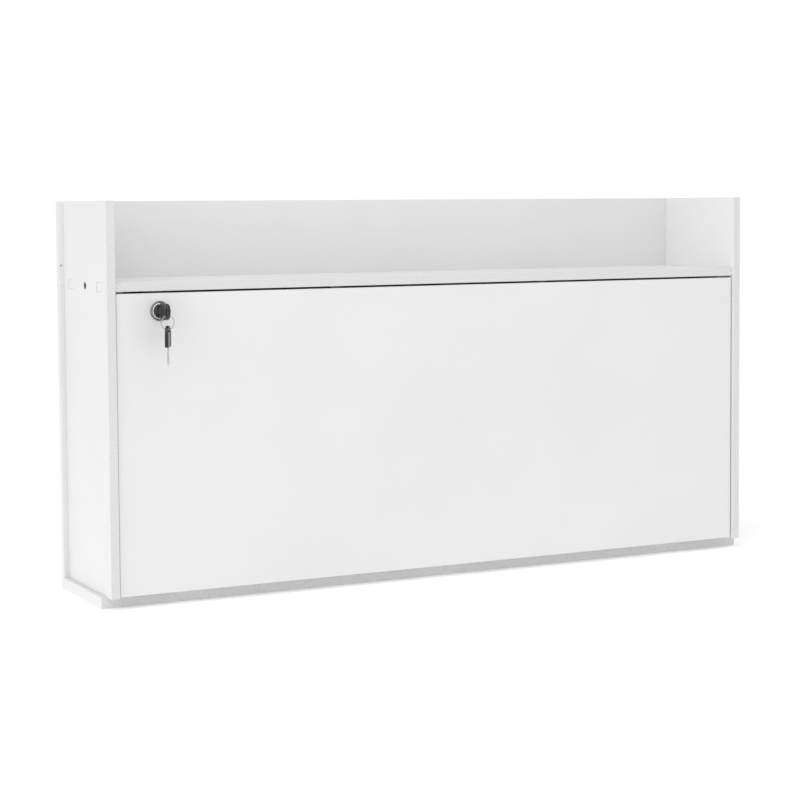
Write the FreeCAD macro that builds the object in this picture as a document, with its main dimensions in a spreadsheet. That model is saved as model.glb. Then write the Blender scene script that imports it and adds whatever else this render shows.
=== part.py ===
import FreeCAD, Part
import os
import Sketcher

# Wall desk with a drop front, white laminated boards, lengths in millimetres.
# Frame: +X to the right of someone facing the front, +Y towards the wall, +Z up.
# The origin is in the middle of the underside: halfway between the ends, and halfway
# between the front edges of the sides and the wall.

DRIVING = {
    "case": {
        "case_width": 800, "case_depth": 150, "case_height": 420,
        "end_lip": 5.5, "gallery_rise": 83.5, "seam_drop": 6.5,
        "side_board": 9.5, "back_board": 9.5, "shelf_board": 9.5, "base_board": 12,
        "divider_board": 9.5, "inner_board": 9.5, "edge_round": 0.6,
    },
    "gallery shelf tenons": {
        "tenon_depth": 17, "tenon_inset": 24, "tenon_root": 5, "joint_gap": 0.15, "tenon_sink": 0.3,
    },
    "inside": {
        "divider_spread": 260, "inner_shelf_top": 172, "inner_setback": 10,
    },
    "flap": {
        "flap_board": 9.5, "front_recess": 3, "flap_side_gap": 1.2, "flap_top_gap": 2.1,
        "flap_foot_gap": 1, "open_gap": 0.5,
    },
    "butt hinges": {
        "pin_radius": 1, "pin_play": 0.05, "knuckle_wall": 1.2, "knuckle_clear": 0.3,
        "hinge_length": 42, "hinge_reach": 24, "hinge_plate": 1, "knuckle_gap": 0.3,
        "hinge_inset": 83.8,
    },
    "lid stays": {
        "stay_lead": 5, "stay_spread": 20, "stay_end_gap": 12, "stay_plate": 1.5,
        "stud_radius": 2.5, "slide_radius": 2, "guide_length": 14, "guide_height": 11,
        "guide_thick": 10, "guide_gap": 1, "slide_line": 9, "eye_wall": 3, "eye_cheek": 0.3,
        "stop_collar": 3, "collar_lip": 1.5, "collar_gap": 0.3, "ear_gap": 0.5, "ear_thick": 2,
        "bracket_span": 30, "bracket_foot": 20, "slide_play": 0.08, "side_plate_depth": 16,
        "stud_bite": 3.4, "eye_overlap": 1.5, "rivet_lip": 1.2, "rivet_thick": 1.5,
        "rivet_proud": 0.5, "bracket_screw_edge": 5,
    },
    "cam lock": {
        "lock_inset": 46.8, "lock_drop": 18.5, "plug_radius": 6, "plug_rim": 0.9, "rim_depth": 2.2,
        "plug_play": 0.05, "plug_sink": 0.3, "barrel_wall": 3.5, "barrel_flat_depth": 1.3,
        "barrel_length": 19.5, "flange_lip": 0.85, "flange_height": 2.5, "nut_wall": 1.3,
        "nut_thick": 3, "tang_side": 6.5, "cam_thick": 2, "cam_reach": 17,
        "cam_half": 7, "flange_slope": 1.8, "rim_chamfer": 0.9, "end_play": 0.1,
        "cam_screw_shank": 2, "cam_screw_bite": 6, "cam_screw_head": 5.5, "cam_screw_thick": 2.5,
        "strike_leg": 8, "strike_plate_thick": 1.5, "strike_gap": 1, "strike_half": 12, "strike_foot": 14,
    },
    "keys": {
        "head_length": 22, "head_half": 8.5, "head_thick": 3.6, "slot_from_end": 4.8,
        "slot_width": 3.5, "slot_half": 5, "blade_length": 18.5, "blade_thick": 1.5,
        "blade_half": 2.8, "blade_tang": 9, "blade_point": 1.6, "key_neck": 4, "keyway_play": 0.15,
        "keyway_end": 1,
        "ring_radius": 7.1, "wire_radius": 0.6, "ring_slack": 0.5, "spare_turn": 31,
    },
    "fasteners": {
        "bolt_head": 4, "bolt_head_thick": 3, "bolt_shank": 2.5, "bolt_length": 45,
        "bolt_sink": 0.5, "bolt_socket": 2.3, "board_screw_head": 3.6, "board_screw_shank": 1.9,
        "board_screw_length": 32, "small_screw_head": 2.6, "small_screw_shank": 1.4,
        "small_screw_bite": 7, "dowel_radius": 3, "dowel_in_shelf": 6, "dowel_in_divider": 14,
        "joint_inset": 30, "inner_screw_inset": 28, "upper_screw_inset": 18,
        "lower_screw_inset": 38, "wall_hole_radius": 2.75, "wall_hole_inset": 85,
        "wall_hole_low": 80, "wall_hole_drop": 60, "stop_block": 12, "stop_block_tall": 34,
    },
}

doc = FreeCAD.newDocument("drop_front_desk")
sheet = doc.addObject("Spreadsheet::Sheet", "sizes")
row = 1
for section, values in DRIVING.items():
    sheet.set(f"A{row}", section)
    for name, value in values.items():
        row += 1
        sheet.set(f"A{row}", name)
        sheet.set(f"B{row}", str(value))
        sheet.setAlias(f"B{row}", name)
    row += 2
doc.recompute()

# Planes, axes and radii that several pieces share, each an expression on the sheet.
KNUCKLE_RADIUS = "(sizes.pin_radius + sizes.knuckle_wall)"
PIN_OFFSET = f"({KNUCKLE_RADIUS} + sizes.knuckle_clear)"
EYE_RADIUS = "(sizes.slide_radius + sizes.eye_wall)"
EYE_THICK = "(2 * (sizes.slide_radius + sizes.eye_cheek))"
BARREL_RADIUS = "(sizes.plug_radius + sizes.barrel_wall)"
FLANGE_RADIUS = f"({BARREL_RADIUS} + sizes.flange_lip)"
RIM_RADIUS = "(sizes.plug_radius + sizes.plug_rim)"
SIDE_OUT = "(sizes.case_width / 2 - sizes.end_lip)"
SIDE_IN = f"({SIDE_OUT} - sizes.side_board)"
FLAP_EDGE = f"({SIDE_IN} - sizes.flap_side_gap)"
WALL = "(sizes.case_depth / 2)"
FRONT = "(-sizes.case_depth / 2)"
BACK_FACE = f"({WALL} - sizes.back_board)"
TOP = "sizes.case_height"
BASE_TOP = "sizes.base_board"
SHELF_TOP = "(sizes.case_height - sizes.gallery_rise)"
SHELF_UNDER = f"({SHELF_TOP} - sizes.shelf_board)"
SEAM = f"({SHELF_TOP} - sizes.seam_drop)"
FLAP_FACE = f"({FRONT} + sizes.front_recess)"
FLAP_BACK = f"({FLAP_FACE} + sizes.flap_board)"
FLAP_TOP = f"({SHELF_UNDER} - sizes.flap_top_gap)"
FLAP_FOOT = f"({BASE_TOP} + sizes.flap_foot_gap)"
HINGE_Y = f"({FLAP_BACK} + {PIN_OFFSET})"
HINGE_Z = f"({BASE_TOP} + {PIN_OFFSET})"
# The open flap lies level with the base board, its lower edge just short of it.
BASE_FRONT = f"({HINGE_Y} + {PIN_OFFSET} - sizes.flap_foot_gap + sizes.open_gap)"

NEAR_END = {-1: "left", 1: "right"}
PAST = "1"  # how far a cutting tool runs past the face it starts from
UP = FreeCAD.Vector(0, 0, 1)
SIDES = (-1, 1)
nodes = []


def node(shape, label):
    """Name a finished sub-part, which is written to a file of that name."""
    shape.Label = label
    nodes.append(shape)
    return shape


def put(shape, at):
    """Bind a shape's place to three expressions."""
    for axis, value in zip("xyz", at):
        shape.setExpression(f".Placement.Base.{axis}", value)
    return shape


def shifted(at, towards, distance):
    """A place moved by a distance along a unit direction."""
    return tuple(f"({value}) + ({step}) * ({distance})" if step else value
                 for value, step in zip(at, towards))


def block(name, x, y, z):
    """A box, given the two faces that bound it on each axis."""
    shape = doc.addObject("Part::Box", name)
    for side, (low, high) in zip(("Length", "Width", "Height"), (x, y, z)):
        shape.setExpression(side, f"({high}) - ({low})")
    return put(shape, (x[0], y[0], z[0]))


def turned(name, kind, towards, at, **sizes):
    """A round or prismatic primitive whose axis starts at a place and runs one way."""
    shape = doc.addObject(kind, name)
    shape.Placement = FreeCAD.Placement(FreeCAD.Vector(), FreeCAD.Rotation(UP, FreeCAD.Vector(*towards)))
    for side, value in sizes.items():
        shape.setExpression(side, value)
    return put(shape, at)


def cylinder(name, towards, at, radius, length):
    return turned(name, "Part::Cylinder", towards, at, Radius=radius, Height=length)


def cone(name, towards, at, first, last, length):
    return turned(name, "Part::Cone", towards, at, Radius1=first, Radius2=last, Height=length)


def group(name, members):
    """Several separate solids as one shape."""
    if len(members) == 1:
        return members[0]
    shape = doc.addObject("Part::Compound", name)
    shape.Links = members
    return shape


def fused(name, members):
    shape = doc.addObject("Part::MultiFuse", name)
    shape.Shapes = members
    return shape


def cut(name, base, tools):
    """A shape less the tools, which don't touch each other."""
    shape = doc.addObject("Part::Cut", name)
    shape.Base = base
    shape.Tool = group(name + "_tools", tools)
    return shape


def sketch_on(body, role, name):
    """A sketch on one of a body's own origin planes."""
    sketch = body.newObject("Sketcher::SketchObject", name)
    plane = next(item for item in body.Origin.OriginFeatures if item.Role == role)
    sketch.AttachmentSupport = (plane, [""])
    sketch.MapMode = "FlatFace"
    return sketch


def rectangle(sketch, width, height):
    """A rectangle from the sketch's origin, with its two sides bound to expressions."""
    corners = [(0, 0), (20, 0), (20, 10), (0, 10)]
    for start, end in zip(corners, corners[1:] + corners[:1]):
        sketch.addGeometry(Part.LineSegment(FreeCAD.Vector(*start, 0), FreeCAD.Vector(*end, 0)), False)
    for side in range(4):
        sketch.addConstraint(Sketcher.Constraint("Coincident", side, 2, (side + 1) % 4, 1))
        direction = "Vertical" if side % 2 else "Horizontal"
        sketch.addConstraint(Sketcher.Constraint(direction, side))
    sketch.addConstraint(Sketcher.Constraint("Coincident", 0, 1, -1, 1))
    for name, kind, side, value, size in (("width", "DistanceX", 0, width, 20),
                                          ("height", "DistanceY", 1, height, 10)):
        index = sketch.addConstraint(Sketcher.Constraint(kind, side, 1, side, 2, size))
        sketch.renameConstraint(index, name)
        sketch.setExpression(f"Constraints.{name}", value)


def board(name, x, y, z):
    """A sawn board with lightly rounded edges, given the two faces that bound it on each axis."""
    body = doc.addObject("PartDesign::Body", name)
    outline = sketch_on(body, "XY_Plane", name + "_outline")
    rectangle(outline, f"({x[1]}) - ({x[0]})", f"({y[1]}) - ({y[0]})")
    pad = body.newObject("PartDesign::Pad", name + "_pad")
    pad.Profile = outline
    pad.setExpression("Length", f"({z[1]}) - ({z[0]})")
    doc.recompute()
    easing = body.newObject("PartDesign::Fillet", name + "_easing")
    easing.Base = (pad, [f"Edge{number + 1}" for number in range(len(pad.Shape.Edges))])
    easing.setExpression("Radius", "sizes.edge_round")
    return put(body, (x[0], y[0], z[0]))


def screw(name, towards, at, head, shank, length):
    """A countersunk screw: a 90 degree cone from its face to its plain shank."""
    sink = f"({head} - {shank})"
    top = cone(name + "_head", towards, at, head, shank, sink)
    rest = cylinder(name + "_shank", towards, shifted(at, towards, sink), shank, f"{length} - {sink}")
    return fused(name, [top, rest])


def board_screw(name, towards, at):
    return screw(name, towards, at, "sizes.board_screw_head", "sizes.board_screw_shank",
                 "sizes.board_screw_length")


def small_screw(name, towards, at, plate):
    """A short screw through a metal plate of the given thickness."""
    return screw(name, towards, at, "sizes.small_screw_head", "sizes.small_screw_shank",
                 f"({plate} + sizes.small_screw_bite)")


def across(side, near, far):
    """The two X faces of something that lies between two distances in from a side board."""
    if side < 0:
        return (f"-{SIDE_IN} + ({near})", f"-{SIDE_IN} + ({far})")
    return (f"{SIDE_IN} - ({far})", f"{SIDE_IN} - ({near})")


def inward(side, distance):
    """The X of a point at one distance in from a side board."""
    return f"{SIDE_IN} - ({distance})" if side > 0 else f"-{SIDE_IN} + ({distance})"


# ---------------------------------------------------------------- fasteners of the case
side_middle = f"({SIDE_OUT} - sizes.side_board / 2)"
case_middle = f"(({FRONT} + {BACK_FACE}) / 2)"
divider_line = "(sizes.divider_spread / 2)"
joint_rows = (("front", f"{BASE_FRONT} + sizes.joint_inset"), ("back", f"{BACK_FACE} - sizes.joint_inset"))

base_screws = {}
for end, line in (("side", side_middle), ("divider", divider_line)):
    for side in SIDES:
        for spot, depth in joint_rows:
            base_screws[(end, side, spot)] = board_screw(f"base_screw_{end}_{NEAR_END[side]}_{spot}",
                                                         (0, 0, 1), (f"{side} * {line}", depth, "0"))
node(group("base_screw_set", list(base_screws.values())), "base_screws")

back_screws = {}
back_rows = {
    "upper": [f"{SEAM} + sizes.upper_screw_inset", f"{TOP} - sizes.upper_screw_inset"],
    "lower": [f"{BASE_TOP} + sizes.lower_screw_inset", f"({BASE_TOP} + {SEAM}) / 2",
              f"{SEAM} - sizes.lower_screw_inset"],
}
for part, heights in back_rows.items():
    lines = {"side": side_middle, "divider": divider_line}
    if part == "upper":
        del lines["divider"]
    for end, line in lines.items():
        for side in SIDES:
            for number, height in enumerate(heights):
                back_screws[(part, end, side, number)] = board_screw(
                    f"back_screw_{part}_{end}_{NEAR_END[side]}_{number}", (0, -1, 0),
                    (f"{side} * {line}", WALL, height))
node(group("back_screw_set", list(back_screws.values())), "back_screws")

tenon_lines = {
    "front": (f"{FRONT} + sizes.tenon_inset - sizes.tenon_depth / 2",
              f"{FRONT} + sizes.tenon_inset + sizes.tenon_depth / 2"),
    "back": (f"{BACK_FACE} - sizes.tenon_inset - sizes.tenon_depth / 2",
             f"{BACK_FACE} - sizes.tenon_inset + sizes.tenon_depth / 2"),
}
shelf_mid = f"({SHELF_TOP} - sizes.shelf_board / 2)"

shelf_bolts = {}
bolt_recesses = {}
for side in SIDES:
    end = NEAR_END[side]
    inwards = (-side, 0, 0)
    face = (f"{side} * {SIDE_OUT}", case_middle, shelf_mid)
    seat = shifted(face, inwards, "sizes.bolt_sink")
    head = cylinder(f"bolt_head_{end}", inwards, seat, "sizes.bolt_head", "sizes.bolt_head_thick")
    socket = turned(f"bolt_socket_{end}", "Part::Prism", inwards, seat,
                    Circumradius="sizes.bolt_socket", Height="sizes.bolt_head_thick / 2")
    shank = cylinder(f"bolt_shank_{end}", inwards, shifted(seat, inwards, "sizes.bolt_head_thick"),
                     "sizes.bolt_shank", "sizes.bolt_length")
    shelf_bolts[side] = fused(f"bolt_{end}", [cut(f"bolt_head_cut_{end}", head, [socket]), shank])
    bolt_recesses[side] = fused(f"bolt_room_{end}", [
        cylinder(f"bolt_recess_{end}", inwards, face, "sizes.bolt_head + sizes.joint_gap",
                 "sizes.bolt_sink + sizes.bolt_head_thick"),
        cylinder(f"bolt_bore_{end}", inwards, face, "sizes.bolt_shank",
                 "sizes.bolt_sink + sizes.bolt_head_thick + sizes.bolt_length")])
node(group("shelf_bolt_set", list(shelf_bolts.values())), "shelf_bolts")

dowels = {}
for side in SIDES:
    for spot, depth in joint_rows:
        dowels[(side, spot)] = cylinder(
            f"dowel_{NEAR_END[side]}_{spot}", (0, 0, 1),
            (f"{side} * {divider_line}", depth, f"{SHELF_UNDER} - sizes.dowel_in_divider"),
            "sizes.dowel_radius", "sizes.dowel_in_divider + sizes.dowel_in_shelf")
node(group("dowel_set", list(dowels.values())), "divider_dowels")

inner_screws = {}
inner_line = "(sizes.inner_shelf_top - sizes.inner_board / 2)"
INNER_FRONT = f"({BASE_FRONT} + sizes.inner_setback)"
for side in SIDES:
    for spot, depth in (("front", f"{INNER_FRONT} + sizes.inner_screw_inset"),
                        ("back", f"{BACK_FACE} - sizes.inner_screw_inset")):
        inner_screws[(side, spot)] = board_screw(
            f"inner_screw_{NEAR_END[side]}_{spot}", (-side, 0, 0),
            (f"{side} * ({divider_line} + sizes.divider_board / 2)", depth, inner_line))
node(group("inner_screw_set", list(inner_screws.values())), "inner_shelf_screws")

# ---------------------------------------------------------------- butt hinges
outer_hinge = f"({FLAP_EDGE} - sizes.hinge_inset)"
HINGE_LINES = {"left": f"-{outer_hinge}", "middle": "0", "right": outer_hinge}
leaf_near = PIN_OFFSET
leaf_far = "sizes.hinge_reach"
leaf_screw_reach = f"({PIN_OFFSET} + sizes.hinge_reach) / 2"
third = "(sizes.hinge_length / 3)"

base_hinge_screws = []
flap_hinge_screws = []
hinge_pins = []
for end, middle in HINGE_LINES.items():
    low = f"({middle}) - sizes.hinge_length / 2"
    high = f"({middle}) + sizes.hinge_length / 2"
    thirds = [(low, f"{low} + {third} - sizes.knuckle_gap"),
              (f"{low} + {third}", f"{low} + 2 * {third}"),
              (f"{low} + 2 * {third} + sizes.knuckle_gap", high)]

    def knuckle(number):
        start, stop = thirds[number]
        return cylinder(f"knuckle_{end}_{number}", (1, 0, 0), (start, HINGE_Y, HINGE_Z),
                        KNUCKLE_RADIUS, f"({stop}) - ({start})")

    def bore(name, radius):
        return cylinder(f"{name}_{end}", (1, 0, 0), (f"{low} - {PAST}", HINGE_Y, HINGE_Z),
                        radius, f"sizes.hinge_length + 2 * {PAST}")

    here_base = []
    here_flap = []
    for number, quarter in enumerate((-0.25, 0.25)):
        line = f"({middle}) + {quarter} * sizes.hinge_length"
        here_base.append(small_screw(
            f"base_hinge_screw_{end}_{number}", (0, 0, -1),
            (line, f"{HINGE_Y} + {leaf_screw_reach}", f"{BASE_TOP} + sizes.hinge_plate"),
            "sizes.hinge_plate"))
        here_flap.append(small_screw(
            f"flap_hinge_screw_{end}_{number}", (0, -1, 0),
            (line, f"{FLAP_BACK} + sizes.hinge_plate", f"{HINGE_Z} + {leaf_screw_reach}"),
            "sizes.hinge_plate"))
    base_hinge_screws += here_base
    flap_hinge_screws += here_flap

    plate = block(f"base_leaf_plate_{end}", (low, high),
                  (f"{HINGE_Y} + {leaf_near}", f"{HINGE_Y} + {leaf_far}"),
                  (BASE_TOP, f"{BASE_TOP} + sizes.hinge_plate"))
    tongues = [block(f"base_leaf_tongue_{end}_{number}", thirds[number],
                     (HINGE_Y, f"{HINGE_Y} + {leaf_near} + sizes.hinge_plate"),
                     (f"{HINGE_Z} - {KNUCKLE_RADIUS}", f"{BASE_TOP} + sizes.hinge_plate"))
               for number in (0, 2)]
    solid = fused(f"base_leaf_solid_{end}", [plate, *tongues, knuckle(0), knuckle(2)])
    node(cut(f"base_leaf_{end}", solid, [bore("base_leaf_bore", "sizes.pin_radius"), *here_base]),
         f"hinge_base_leaf_{end}")

    plate = block(f"flap_leaf_plate_{end}", (low, high),
                  (FLAP_BACK, f"{FLAP_BACK} + sizes.hinge_plate"),
                  (f"{HINGE_Z} + {leaf_near}", f"{HINGE_Z} + {leaf_far}"))
    tongue = block(f"flap_leaf_tongue_{end}", thirds[1],
                   (FLAP_BACK, f"{FLAP_BACK} + sizes.hinge_plate"),
                   (HINGE_Z, f"{HINGE_Z} + {leaf_near} + sizes.hinge_plate"))
    solid = fused(f"flap_leaf_solid_{end}", [plate, tongue, knuckle(1)])
    loose = "sizes.pin_radius + sizes.pin_play"
    node(cut(f"flap_leaf_{end}", solid, [bore("flap_leaf_bore", loose), *here_flap]),
         f"hinge_flap_leaf_{end}")

    hinge_pins.append(cylinder(f"pin_{end}", (1, 0, 0), (low, HINGE_Y, HINGE_Z),
                               "sizes.pin_radius", "sizes.hinge_length"))
node(group("hinge_pin_set", hinge_pins), "hinge_pins")
node(group("base_hinge_screw_set", base_hinge_screws), "hinge_screws_base")
node(group("flap_hinge_screw_set", flap_hinge_screws), "hinge_screws_flap")

# ---------------------------------------------------------------- sliding lid stays
# The guide's stud P and the slide's pivot Q are the same distance from the hinge line, so
# the line through both turns half as far as the flap, about P and about Q alike.
stay_tilt = "(sizes.stay_lead + sizes.stay_spread / 2)"
stay_tail = "(sizes.guide_length / 2 + sizes.collar_gap + sizes.stop_collar)"
widest = "(2 * sin(45 + sizes.stay_spread / 2))"
stay_radius = (f"(({BACK_FACE} - {HINGE_Y} - sizes.stay_end_gap - {stay_tail} * cos({stay_tilt}))"
               f" / (sin(sizes.stay_lead) + {widest} * cos({stay_tilt})))")
P_Y = f"({HINGE_Y} + {stay_radius} * sin(sizes.stay_lead + sizes.stay_spread))"
P_Z = f"({HINGE_Z} + {stay_radius} * cos(sizes.stay_lead + sizes.stay_spread))"
Q_Y = f"({HINGE_Y} + {stay_radius} * sin(sizes.stay_lead))"
Q_Z = f"({HINGE_Z} + {stay_radius} * cos(sizes.stay_lead))"
slide_length = f"({widest} * {stay_radius} + {stay_tail})"


def along_slide(y, z, distance):
    """A point at one distance down the slide's line, which leans back and down at rest."""
    return (f"{y} + ({distance}) * cos({stay_tilt})", f"{z} - ({distance}) * sin({stay_tilt})")


def tilted(shape):
    """Turn a piece from the Y direction onto the slide's line, about its own place."""
    shape.Placement = FreeCAD.Placement(FreeCAD.Vector(), FreeCAD.Rotation(FreeCAD.Vector(1, 0, 0), -10))
    shape.setExpression(".Placement.Rotation.Angle", f"-{stay_tilt}")
    return shape


def slide_rod(name, x, y, z, radius, length):
    """A round bar along the slide's line, from a point on it."""
    bar = doc.addObject("Part::Cylinder", name)
    bar.Placement = FreeCAD.Placement(FreeCAD.Vector(), FreeCAD.Rotation(FreeCAD.Vector(1, 0, 0), -100))
    bar.setExpression(".Placement.Rotation.Angle", f"-90 - {stay_tilt}")
    bar.setExpression("Radius", radius)
    bar.setExpression("Height", length)
    return put(bar, (x, y, z))


side_stay_screws = {}
flap_stay_screws = []
stay_pins = []
half_span = "(sizes.bracket_span / 2)"
half_plate = "(sizes.side_plate_depth / 2)"
screw_height = f"({half_span} - sizes.bracket_screw_edge)"
guide_near = "(sizes.stay_plate + sizes.guide_gap)"
eye_near = f"(sizes.slide_line - {EYE_THICK} / 2)"
eye_far = f"(sizes.slide_line + {EYE_THICK} / 2)"
ear_near = f"({eye_far} + sizes.ear_gap)"
ear_far = f"({ear_near} + sizes.ear_thick)"
foot_far = f"({ear_near} + sizes.bracket_foot)"
eye_root = f"({EYE_RADIUS} - sizes.eye_overlap)"
for side in SIDES:
    end = NEAR_END[side]
    into_side = (side, 0, 0)
    from_side = (-side, 0, 0)
    for number, step in enumerate(SIDES):
        side_stay_screws[(side, number)] = small_screw(
            f"side_stay_screw_{end}_{number}", into_side,
            (inward(side, "sizes.stay_plate"), P_Y, f"{P_Z} + {step} * {screw_height}"),
            "sizes.stay_plate")

    plate = block(f"stud_plate_{end}", across(side, "0", "sizes.stay_plate"),
                  (f"{P_Y} - {half_plate}", f"{P_Y} + {half_plate}"),
                  (f"{P_Z} - {half_span}", f"{P_Z} + {half_span}"))
    stud = cylinder(f"stud_{end}", from_side, (inward(side, "0"), P_Y, P_Z), "sizes.stud_radius",
                    f"{guide_near} + sizes.stud_bite")
    solid = fused(f"stud_bracket_solid_{end}", [plate, stud])
    node(cut(f"stud_bracket_{end}", solid, [side_stay_screws[(side, 0)], side_stay_screws[(side, 1)]]),
         f"stay_stud_plate_{end}")

    guide_x = across(side, guide_near, f"{guide_near} + sizes.guide_thick")
    start = along_slide(P_Y, P_Z, "-sizes.guide_length / 2")
    lift = "sizes.guide_height / 2"
    guide = tilted(doc.addObject("Part::Box", f"guide_block_{end}"))
    guide.setExpression("Length", "sizes.guide_thick")
    guide.setExpression("Width", "sizes.guide_length")
    guide.setExpression("Height", "sizes.guide_height")
    put(guide, (guide_x[0], f"{start[0]} - {lift} * sin({stay_tilt})",
                f"{start[1]} - {lift} * cos({stay_tilt})"))
    slide_line = inward(side, "sizes.slide_line")
    start = along_slide(P_Y, P_Z, "-sizes.guide_length")
    slide_bore = slide_rod(f"guide_bore_{end}", slide_line, start[0], start[1],
                           "sizes.slide_radius + sizes.slide_play", "2 * sizes.guide_length")
    stud_bore = cylinder(f"guide_stud_bore_{end}", from_side,
                         (inward(side, f"{guide_near} - {PAST}"), P_Y, P_Z),
                         "sizes.stud_radius + sizes.pin_play",
                         f"{PAST} + sizes.stud_bite + sizes.end_play")
    node(cut(f"guide_{end}", guide, [slide_bore, stud_bore]), f"stay_guide_{end}")

    eye = cylinder(f"eye_{end}", from_side, (inward(side, eye_near), Q_Y, Q_Z), EYE_RADIUS,
                   EYE_THICK)
    start = along_slide(Q_Y, Q_Z, eye_root)
    rod = slide_rod(f"slide_{end}", slide_line, start[0], start[1], "sizes.slide_radius",
                    f"{slide_length} - {eye_root}")
    start = along_slide(Q_Y, Q_Z, f"{slide_length} - sizes.stop_collar")
    collar = slide_rod(f"collar_{end}", slide_line, start[0], start[1],
                       "sizes.slide_radius + sizes.collar_lip", "sizes.stop_collar")
    eye_bore = cylinder(f"eye_bore_{end}", from_side, (inward(side, f"{eye_near} - {PAST}"), Q_Y, Q_Z),
                        "sizes.slide_radius + sizes.pin_play", f"{EYE_THICK} + 2 * {PAST}")
    solid = fused(f"slide_solid_{end}", [eye, rod, collar])
    node(cut(f"slide_bar_{end}", solid, [eye_bore]), f"stay_rod_{end}")

    here = [small_screw(f"flap_stay_screw_{end}_{number}", (0, -1, 0),
                        (inward(side, f"({ear_far} + {foot_far}) / 2"), f"{FLAP_BACK} + sizes.stay_plate",
                         f"{Q_Z} + {step} * {screw_height}"), "sizes.stay_plate")
            for number, step in enumerate(SIDES)]
    flap_stay_screws += here
    foot = block(f"flap_bracket_foot_{end}", across(side, ear_near, foot_far),
                 (FLAP_BACK, f"{FLAP_BACK} + sizes.stay_plate"),
                 (f"{Q_Z} - {half_span}", f"{Q_Z} + {half_span}"))
    ear = block(f"flap_bracket_ear_{end}", across(side, ear_near, ear_far),
                (FLAP_BACK, f"{Q_Y} + {EYE_RADIUS}"),
                (f"{Q_Z} - {EYE_RADIUS}", f"{Q_Z} + {EYE_RADIUS}"))
    pin_hole = cylinder(f"ear_bore_{end}", from_side, (inward(side, f"{ear_near} - {PAST}"), Q_Y, Q_Z),
                        "sizes.slide_radius", f"sizes.ear_thick + 2 * {PAST}")
    solid = fused(f"flap_bracket_solid_{end}", [foot, ear])
    node(cut(f"flap_bracket_{end}", solid, [pin_hole, *here]), f"stay_flap_bracket_{end}")
    stay_pins.append(fused(f"stay_pin_{end}", [
        cylinder(f"stay_pin_shank_{end}", from_side,
                 (inward(side, f"{eye_near} - sizes.rivet_proud"), Q_Y, Q_Z), "sizes.slide_radius",
                 f"{ear_far} - {eye_near} + sizes.rivet_proud"),
        cylinder(f"stay_pin_head_{end}", from_side, (inward(side, ear_far), Q_Y, Q_Z),
                 "sizes.slide_radius + sizes.rivet_lip", "sizes.rivet_thick")]))
node(group("stay_pin_set", stay_pins), "stay_pins")
node(group("side_stay_screw_set", list(side_stay_screws.values())), "stay_screws_side")
node(group("flap_stay_screw_set", flap_stay_screws), "stay_screws_flap")

# ---------------------------------------------------------------- flap stops
stop_screws = {}
stop_blocks = []
for side in SIDES:
    end = NEAR_END[side]
    stop_low = f"{SHELF_UNDER} - sizes.stop_block_tall"
    stop_start = f"{FLAP_BACK} + sizes.open_gap"
    stop_screws[side] = small_screw(
        f"stop_screw_{end}", (side, 0, 0),
        (inward(side, "sizes.stop_block"), f"{stop_start} + sizes.stop_block / 2",
         f"{stop_low} + sizes.stop_block_tall / 2"), "sizes.stop_block")
    blank = block(f"stop_blank_{end}", across(side, "0", "sizes.stop_block"),
                  (stop_start, f"{stop_start} + sizes.stop_block"), (stop_low, SHELF_UNDER))
    stop_blocks.append(cut(f"stop_{end}", blank, [stop_screws[side]]))
node(group("stop_block_set", stop_blocks), "flap_stops")
node(group("stop_screw_set", list(stop_screws.values())), "stop_screws")

# ---------------------------------------------------------------- cam lock
LOCK_X = f"(-{FLAP_EDGE} + sizes.lock_inset)"
LOCK_Z = f"({FLAP_TOP} - sizes.lock_drop)"
FLANGE_FACE = f"({FLAP_FACE} - sizes.flange_height)"
BARREL_END = f"({FLAP_FACE} + sizes.barrel_length)"
PLUG_FACE = f"({FLANGE_FACE} + sizes.plug_sink)"
INTO_CASE = (0, 1, 0)


def lock_round(name, start, stop, radius):
    """A round stretch of the lock between two depths."""
    return cylinder(name, INTO_CASE, (LOCK_X, start, LOCK_Z), radius, f"({stop}) - ({start})")


def double_flat(name, start, stop, room):
    """A round bar with a flat on each side, so that the barrel can't turn in its hole."""
    bar = lock_round(name + "_round", start, stop, f"{BARREL_RADIUS} + {room}")
    flat = f"({BARREL_RADIUS} - sizes.barrel_flat_depth + {room})"
    slab = block(name + "_slab", (f"{LOCK_X} - {flat}", f"{LOCK_X} + {flat}"), (start, stop),
                 (f"{LOCK_Z} - {BARREL_RADIUS} - {PAST}", f"{LOCK_Z} + {BARREL_RADIUS} + {PAST}"))
    shape = doc.addObject("Part::MultiCommon", name)
    shape.Shapes = [bar, slab]
    return shape


rim_back = f"({PLUG_FACE} + sizes.rim_depth)"
flange_edge = f"({FLAP_FACE} - sizes.flange_height / 2)"
flange = fused("lock_body", [
    lock_round("flange_base", flange_edge, FLAP_FACE, FLANGE_RADIUS),
    cone("flange_slope", (0, -1, 0), (LOCK_X, flange_edge, LOCK_Z), FLANGE_RADIUS,
         f"{FLANGE_RADIUS} - sizes.flange_slope", "sizes.flange_height / 2"),
    double_flat("barrel", FLAP_FACE, BARREL_END, "0")])
plug_room = fused("plug_room", [
    lock_round("plug_bore", f"{FLANGE_FACE} - {PAST}", f"{BARREL_END} + {PAST}",
               "sizes.plug_radius + sizes.plug_play"),
    lock_round("rim_bore", f"{FLANGE_FACE} - {PAST}", f"{rim_back} + sizes.plug_play",
               f"{RIM_RADIUS} + sizes.plug_play"),
    cone("rim_chamfer", INTO_CASE, (LOCK_X, FLANGE_FACE, LOCK_Z), f"{RIM_RADIUS} + sizes.rim_chamfer",
         RIM_RADIUS, "sizes.rim_chamfer")])
node(cut("lock_housing", flange, [plug_room]), "lock_barrel")

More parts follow.
